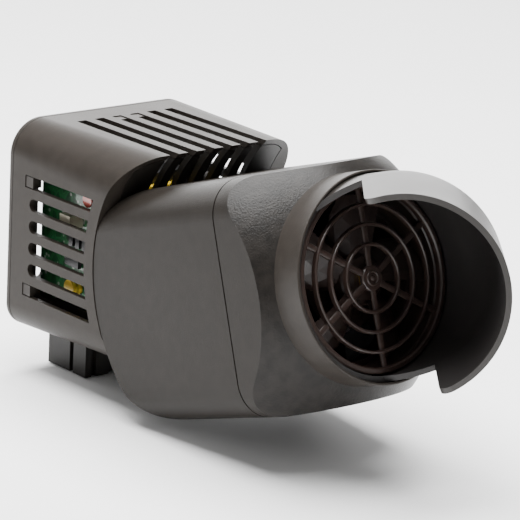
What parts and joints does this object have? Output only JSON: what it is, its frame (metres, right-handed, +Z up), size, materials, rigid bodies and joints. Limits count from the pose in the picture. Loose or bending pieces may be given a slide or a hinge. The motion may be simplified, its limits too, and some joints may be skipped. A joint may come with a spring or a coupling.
{
  "type": "wave maker pump",
  "caption": "Circulation pump: vented electronics box on a dock plug, tilting motor head, guarded round outlet and a turnable half-elbow hood.",
  "frame": {"origin": "middle of the dock connector's underside", "axes": "+Z up, the nozzle points along -Y and up by 18 degrees at rest, x = 0 is the mirror plane of housing and head"},
  "size_m": [0.0836, 0.2121, 0.1099],
  "materials": {
    "housing_plastic": "fine moulded texture, dark warm grey",
    "cover_plastic": "fine moulded texture, a shade lighter grey",
    "dark_plastic": "matte near-black",
    "interior_plastic": "satin, dark brown-black",
    "gasket_rubber": "matte",
    "washer_plastic": "plain moulded",
    "bracket_steel": "bright zinc plate",
    "screw_steel": "bright zinc plate",
    "contact_brass": "plain",
    "board_green": "solder mask",
    "component_black": "moulded",
    "tape_yellow": "satin",
    "capacitor_sleeve": "shrink sleeve",
    "varistor_red": "dipped",
    "winding_copper": "enamelled wire",
    "heat_sink_aluminium": "extruded",
    "can_enamel": "dark enamel",
    "motor_steel": "turned and plated"
  },
  "bodies": {
    "housing": {"vented_housing": "housing_plastic", "scoop_panel": "dark_plastic", "rear_cover": "cover_plastic", "dock_connector": "dark_plastic", "contact_blade_1": "contact_brass", "contact_blade_2": "contact_brass", "contact_blade_3": "contact_brass", "contact_blade_4": "contact_brass", "dock_screw_1": "screw_steel", "dock_screw_2": "screw_steel", "tilt_bracket": "bracket_steel", "bracket_screw_1": "bracket_steel", "bracket_screw_2": "bracket_steel", "tilt_axle": "bracket_steel", "axle_nut": "bracket_steel", "friction_washer_left": "washer_plastic", "friction_washer_right": "washer_plastic", "control_board": "board_green", "board_guide_upper": "dark_plastic", "board_guide_lower": "dark_plastic", "transformer_core": "component_black", "transformer_winding": "tape_yellow", "bulk_capacitor_upper": "capacitor_sleeve", "bulk_capacitor_lower": "capacitor_sleeve", "filter_choke": "winding_copper", "heat_sink": "heat_sink_aluminium", "power_transistor_front": "component_black", "power_transistor_rear": "component_black", "film_capacitor": "washer_plastic", "disc_capacitor": "tape_yellow", "varistor": "varistor_red", "resistor_network": "component_black", "driver_chip": "component_black", "board_header": "washer_plastic", "motor_leads": "gasket_rubber"},
    "head": {"head_shell": "housing_plastic", "front_cover": "housing_plastic", "cover_gasket": "gasket_rubber", "cover_screw_1": "screw_steel", "cover_screw_2": "screw_steel", "cover_screw_3": "screw_steel", "cover_screw_4": "screw_steel", "flow_duct": "interior_plastic", "guard_grille": "interior_plastic", "motor_mount": "interior_plastic", "motor_screw_1": "screw_steel", "motor_screw_2": "screw_steel", "motor_screw_3": "screw_steel", "motor_can": "can_enamel", "stator_core": "motor_steel", "stator_windings": "winding_copper", "rear_bearing": "motor_steel", "front_bearing": "motor_steel"},
    "rotor": {"rotor_shaft": "motor_steel", "rotor_magnet": "motor_steel", "propeller": "interior_plastic", "propeller_nut": "contact_brass"},
    "hood": {"discharge_hood": "cover_plastic"}
  },
  "joints": [
    {"name": "head_tilt", "type": "hinge", "parent": "housing", "child": "head", "pos_m": [0, -0.0942, 0.0547], "axis": [-1, 0, 0], "range_deg": [-38, 12]},
    {"name": "propeller_spin", "type": "hinge", "parent": "head", "child": "rotor", "pos_m": [0, -0.0942, 0.0547], "axis": [0, -0.9511, 0.309], "continuous": true},
    {"name": "hood_turn", "type": "hinge", "parent": "head", "child": "hood", "pos_m": [0, -0.0942, 0.0547], "axis": [0, -0.9511, 0.309], "range_deg": [-107, 73]}
  ]
}
